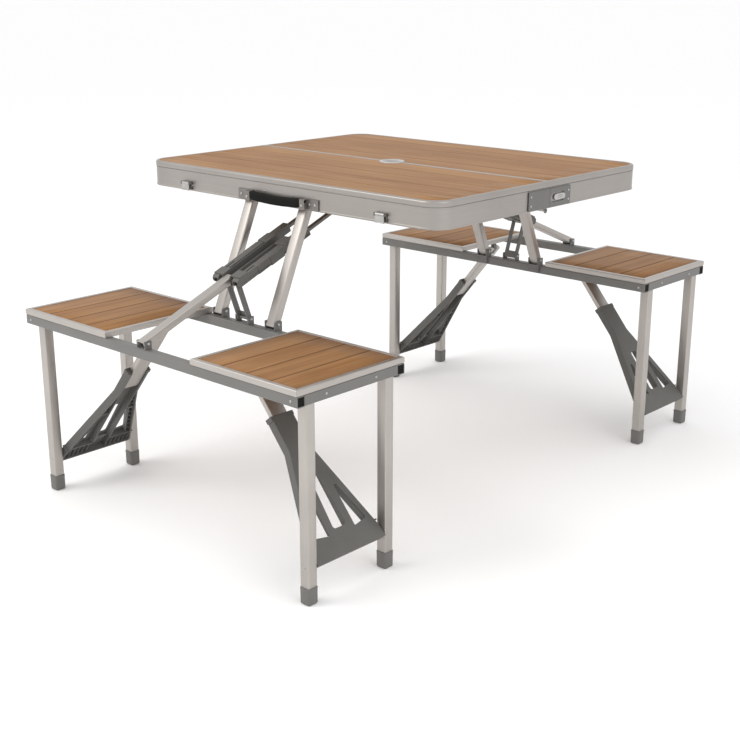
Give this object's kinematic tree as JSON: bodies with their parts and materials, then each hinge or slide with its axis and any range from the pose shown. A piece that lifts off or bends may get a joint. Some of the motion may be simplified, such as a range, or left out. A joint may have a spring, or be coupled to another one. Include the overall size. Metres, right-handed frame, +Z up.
{
  "type": "folding picnic table",
  "caption": "Folding suitcase picnic table with a hinged tabletop, linked fold-out benches with seats, and folding legs on moulded braces.",
  "frame": {"origin": "on the ground under the middle of the tabletop, halfway along the seam between its two halves", "axes": "+Z up, +X along the seam between the two tabletop halves, -Y towards the carrying handle"},
  "size_m": [0.849, 1.384, 0.6875],
  "materials": {
    "frame_aluminium": "satin anodised",
    "bamboo_board": "bamboo-pattern laminate on thin board, satin",
    "grey_steel": "dark grey powder coat",
    "tube_aluminium": "satin",
    "grey_plastic": "moulded, fine grain",
    "black_plastic": "moulded, soft sheen",
    "plated_steel": "bright zinc",
    "silver_plastic": "silver grey"
  },
  "bodies": {
    "front_tabletop": {"front_tabletop_frame": "frame_aluminium", "front_tabletop_panel": "bamboo_board", "front_umbrella_ring_half": "silver_plastic", "front_underside_brackets": "grey_steel", "front_seam_hinges": "plated_steel", "front_end_plates": "grey_steel", "handle_brackets": "plated_steel", "latch_bases": "plated_steel"},
    "rear_tabletop": {"rear_tabletop_frame": "frame_aluminium", "rear_tabletop_panel": "bamboo_board", "rear_umbrella_ring_half": "silver_plastic", "rear_underside_brackets": "grey_steel", "rear_seam_hinges": "plated_steel", "rear_end_plates": "grey_steel", "latch_keepers": "plated_steel"},
    "handle_grip": {"handle_grip": "black_plastic"},
    "latch_lever_left": {"latch_lever_left": "plated_steel"},
    "latch_lever_right": {"latch_lever_right": "plated_steel"},
    "lock_knob_left": {"lock_knob_left": "silver_plastic"},
    "lock_knob_right": {"lock_knob_right": "silver_plastic"},
    "front_arms": {"front_arms": "tube_aluminium"},
    "front_bench": {"front_bench_outer_rail": "grey_steel", "front_bench_inner_rail": "grey_steel", "front_bench_end_bars": "grey_steel", "front_rail_plugs": "black_plastic", "front_seat_edges": "frame_aluminium", "front_seat_panels": "bamboo_board", "front_bench_brackets": "grey_steel"},
    "front_stay_tube": {"front_stay_tube": "tube_aluminium"},
    "front_slide_bracket": {"front_slide_bracket": "grey_plastic"},
    "front_stay_rods": {"front_stay_rods": "grey_steel"},
    "front_fork_link": {"front_fork_link": "grey_steel"},
    "rear_arms": {"rear_arms": "tube_aluminium"},
    "rear_bench": {"rear_bench_outer_rail": "grey_steel", "rear_bench_inner_rail": "grey_steel", "rear_bench_end_bars": "grey_steel", "rear_rail_plugs": "black_plastic", "rear_seat_edges": "frame_aluminium", "rear_seat_panels": "bamboo_board", "rear_bench_brackets": "grey_steel"},
    "rear_stay_tube": {"rear_stay_tube": "tube_aluminium"},
    "rear_slide_bracket": {"rear_slide_bracket": "grey_plastic"},
    "rear_stay_rods": {"rear_stay_rods": "grey_steel"},
    "rear_fork_link": {"rear_fork_link": "grey_steel"},
    "front_right_legs": {"front_right_legs": "tube_aluminium", "front_right_foot_caps": "grey_plastic"},
    "front_right_brace_strut": {"front_right_brace_strut": "tube_aluminium"},
    "front_right_leg_brace": {"front_right_leg_brace": "grey_plastic"},
    "front_left_legs": {"front_left_legs": "tube_aluminium", "front_left_foot_caps": "grey_plastic"},
    "front_left_brace_strut": {"front_left_brace_strut": "tube_aluminium"},
    "front_left_leg_brace": {"front_left_leg_brace": "grey_plastic"},
    "rear_right_legs": {"rear_right_legs": "tube_aluminium", "rear_right_foot_caps": "grey_plastic"},
    "rear_right_brace_strut": {"rear_right_brace_strut": "tube_aluminium"},
    "rear_right_leg_brace": {"rear_right_leg_brace": "grey_plastic"},
    "rear_left_legs": {"rear_left_legs": "tube_aluminium", "rear_left_foot_caps": "grey_plastic"},
    "rear_left_brace_strut": {"rear_left_brace_strut": "tube_aluminium"},
    "rear_left_leg_brace": {"rear_left_leg_brace": "grey_plastic"}
  },
  "joints": [
    {"name": "table_fold", "type": "hinge", "parent": "front_tabletop", "child": "rear_tabletop", "pos_m": [0, 0, 0.6276], "axis": [-1, 0, 0], "range_deg": [0, 45]},
    {"name": "handle_swing", "type": "hinge", "parent": "front_tabletop", "child": "handle_grip", "pos_m": [0, -0.353, 0.6505], "axis": [-1, 0, 0], "range_deg": [0, 90]},
    {"name": "latch_left_flip", "type": "hinge", "parent": "front_tabletop", "child": "latch_lever_left", "pos_m": [-0.283, -0.3505, 0.649], "axis": [-1, 0, 0], "range_deg": [0, 120]},
    {"name": "lock_left_slide", "type": "slide", "parent": "rear_tabletop", "child": "lock_knob_left", "axis": [0, -1, 0], "range_m": [0, 0.012]},
    {"name": "latch_right_flip", "type": "hinge", "parent": "front_tabletop", "child": "latch_lever_right", "pos_m": [0.283, -0.3505, 0.649], "axis": [-1, 0, 0], "range_deg": [0, 120]},
    {"name": "lock_right_slide", "type": "slide", "parent": "rear_tabletop", "child": "lock_knob_right", "axis": [0, -1, 0], "range_m": [0, 0.012]},
    {"name": "front_bench_fold", "type": "hinge", "parent": "front_tabletop", "child": "front_arms", "pos_m": [0, -0.311, 0.666], "axis": [1, 0, 0], "range_deg": [0, 113.61]},
    {"name": "front_bench_level", "type": "hinge", "parent": "front_arms", "child": "front_bench", "pos_m": [0, -0.422, 0.412], "axis": [1, 0, 0], "range_deg": [-113.62, 0]},
    {"name": "front_stay_swing", "type": "hinge", "parent": "front_bench", "child": "front_stay_tube", "pos_m": [-0.018, -0.682, 0.411], "axis": [1, 0, 0], "range_deg": [-21.52, 0]},
    {"name": "front_slide_travel", "type": "slide", "parent": "front_stay_tube", "child": "front_slide_bracket", "axis": [0, 0.929, 0.3701], "range_m": [-0.19805, 0]},
    {"name": "front_rod_travel", "type": "slide", "parent": "front_slide_bracket", "child": "front_stay_rods", "axis": [0, 0.929, 0.3701], "range_m": [-0.23917, 0]},
    {"name": "front_fork_swing", "type": "hinge", "parent": "front_bench", "child": "front_fork_link", "pos_m": [-0.018, -0.428, 0.411], "axis": [1, 0, 0], "range_deg": [0, 70.45]},
    {"name": "rear_bench_fold", "type": "hinge", "parent": "rear_tabletop", "child": "rear_arms", "pos_m": [0, 0.311, 0.666], "axis": [-1, 0, 0], "range_deg": [0, 113.61]},
    {"name": "rear_bench_level", "type": "hinge", "parent": "rear_arms", "child": "rear_bench", "pos_m": [0, 0.422, 0.412], "axis": [-1, 0, 0], "range_deg": [-113.62, 0]},
    {"name": "rear_stay_swing", "type": "hinge", "parent": "rear_bench", "child": "rear_stay_tube", "pos_m": [0.018, 0.682, 0.411], "axis": [-1, 0, 0], "range_deg": [-21.52, 0]},
    {"name": "rear_slide_travel", "type": "slide", "parent": "rear_stay_tube", "child": "rear_slide_bracket", "axis": [0, -0.929, 0.3701], "range_m": [-0.19805, 0]},
    {"name": "rear_rod_travel", "type": "slide", "parent": "rear_slide_bracket", "child": "rear_stay_rods", "axis": [0, -0.929, 0.3701], "range_m": [-0.23917, 0]},
    {"name": "rear_fork_swing", "type": "hinge", "parent": "rear_bench", "child": "rear_fork_link", "pos_m": [0.018, 0.428, 0.411], "axis": [-1, 0, 0], "range_deg": [0, 70.45]},
    {"name": "front_right_leg_fold", "type": "hinge", "parent": "front_bench", "child": "front_right_legs", "pos_m": [0.3915, -0.555, 0.387], "axis": [0, 1, 0], "range_deg": [0, 90]},
    {"name": "front_right_strut_swing", "type": "hinge", "parent": "front_bench", "child": "front_right_brace_strut", "pos_m": [0.132, -0.555, 0.387], "axis": [0, 1, 0], "range_deg": [-50.54, 0]},
    {"name": "front_right_brace_elbow", "type": "hinge", "parent": "front_right_brace_strut", "child": "front_right_leg_brace", "pos_m": [0.24411, -0.555, 0.25092], "axis": [0, 1, 0], "range_deg": [0, 180.02]},
    {"name": "front_left_leg_fold", "type": "hinge", "parent": "front_bench", "child": "front_left_legs", "pos_m": [-0.3915, -0.555, 0.387], "axis": [0, -1, 0], "range_deg": [0, 90]},
    {"name": "front_left_strut_swing", "type": "hinge", "parent": "front_bench", "child": "front_left_brace_strut", "pos_m": [-0.132, -0.555, 0.387], "axis": [0, -1, 0], "range_deg": [-50.54, 0]},
    {"name": "front_left_brace_elbow", "type": "hinge", "parent": "front_left_brace_strut", "child": "front_left_leg_brace", "pos_m": [-0.24411, -0.555, 0.25092], "axis": [0, -1, 0], "range_deg": [0, 180.02]},
    {"name": "rear_right_leg_fold", "type": "hinge", "parent": "rear_bench", "child": "rear_right_legs", "pos_m": [0.3915, 0.555, 0.387], "axis": [0, 1, 0], "range_deg": [0, 90]},
    {"name": "rear_right_strut_swing", "type": "hinge", "parent": "rear_bench", "child": "rear_right_brace_strut", "pos_m": [0.132, 0.555, 0.387], "axis": [0, 1, 0], "range_deg": [-50.54, 0]},
    {"name": "rear_right_brace_elbow", "type": "hinge", "parent": "rear_right_brace_strut", "child": "rear_right_leg_brace", "pos_m": [0.24411, 0.555, 0.25092], "axis": [0, 1, 0], "range_deg": [0, 180.02]},
    {"name": "rear_left_leg_fold", "type": "hinge", "parent": "rear_bench", "child": "rear_left_legs", "pos_m": [-0.3915, 0.555, 0.387], "axis": [0, -1, 0], "range_deg": [0, 90]},
    {"name": "rear_left_strut_swing", "type": "hinge", "parent": "rear_bench", "child": "rear_left_brace_strut", "pos_m": [-0.132, 0.555, 0.387], "axis": [0, -1, 0], "range_deg": [-50.54, 0]},
    {"name": "rear_left_brace_elbow", "type": "hinge", "parent": "rear_left_brace_strut", "child": "rear_left_leg_brace", "pos_m": [-0.24411, 0.555, 0.25092], "axis": [0, -1, 0], "range_deg": [0, 180.02]}
  ],
  "couplings": [
    {"joint": "front_bench_level", "follows": "front_bench_fold", "ratio": -1},
    {"joint": "front_stay_swing", "follows": "front_bench_fold", "ratio": -0.18922},
    {"joint": "front_slide_travel", "follows": "front_bench_fold", "m_per_rad": -0.099859},
    {"joint": "front_rod_travel", "follows": "front_bench_fold", "m_per_rad": -0.1206},
    {"joint": "front_fork_swing", "follows": "front_bench_fold", "ratio": 0.61994},
    {"joint": "rear_bench_level", "follows": "rear_bench_fold", "ratio": -1},
    {"joint": "rear_stay_swing", "follows": "rear_bench_fold", "ratio": -0.18922},
    {"joint": "rear_slide_travel", "follows": "rear_bench_fold", "m_per_rad": -0.099859},
    {"joint": "rear_rod_travel", "follows": "rear_bench_fold", "m_per_rad": -0.1206},
    {"joint": "rear_fork_swing", "follows": "rear_bench_fold", "ratio": 0.61994},
    {"joint": "front_right_strut_swing", "follows": "front_right_leg_fold", "ratio": -0.56131},
    {"joint": "front_right_brace_elbow", "follows": "front_right_leg_fold", "ratio": 2},
    {"joint": "front_left_strut_swing", "follows": "front_left_leg_fold", "ratio": -0.56131},
    {"joint": "front_left_brace_elbow", "follows": "front_left_leg_fold", "ratio": 2},
    {"joint": "rear_right_strut_swing", "follows": "rear_right_leg_fold", "ratio": -0.56131},
    {"joint": "rear_right_brace_elbow", "follows": "rear_right_leg_fold", "ratio": 2},
    {"joint": "rear_left_strut_swing", "follows": "rear_left_leg_fold", "ratio": -0.56131},
    {"joint": "rear_left_brace_elbow", "follows": "rear_left_leg_fold", "ratio": 2}
  ]
}
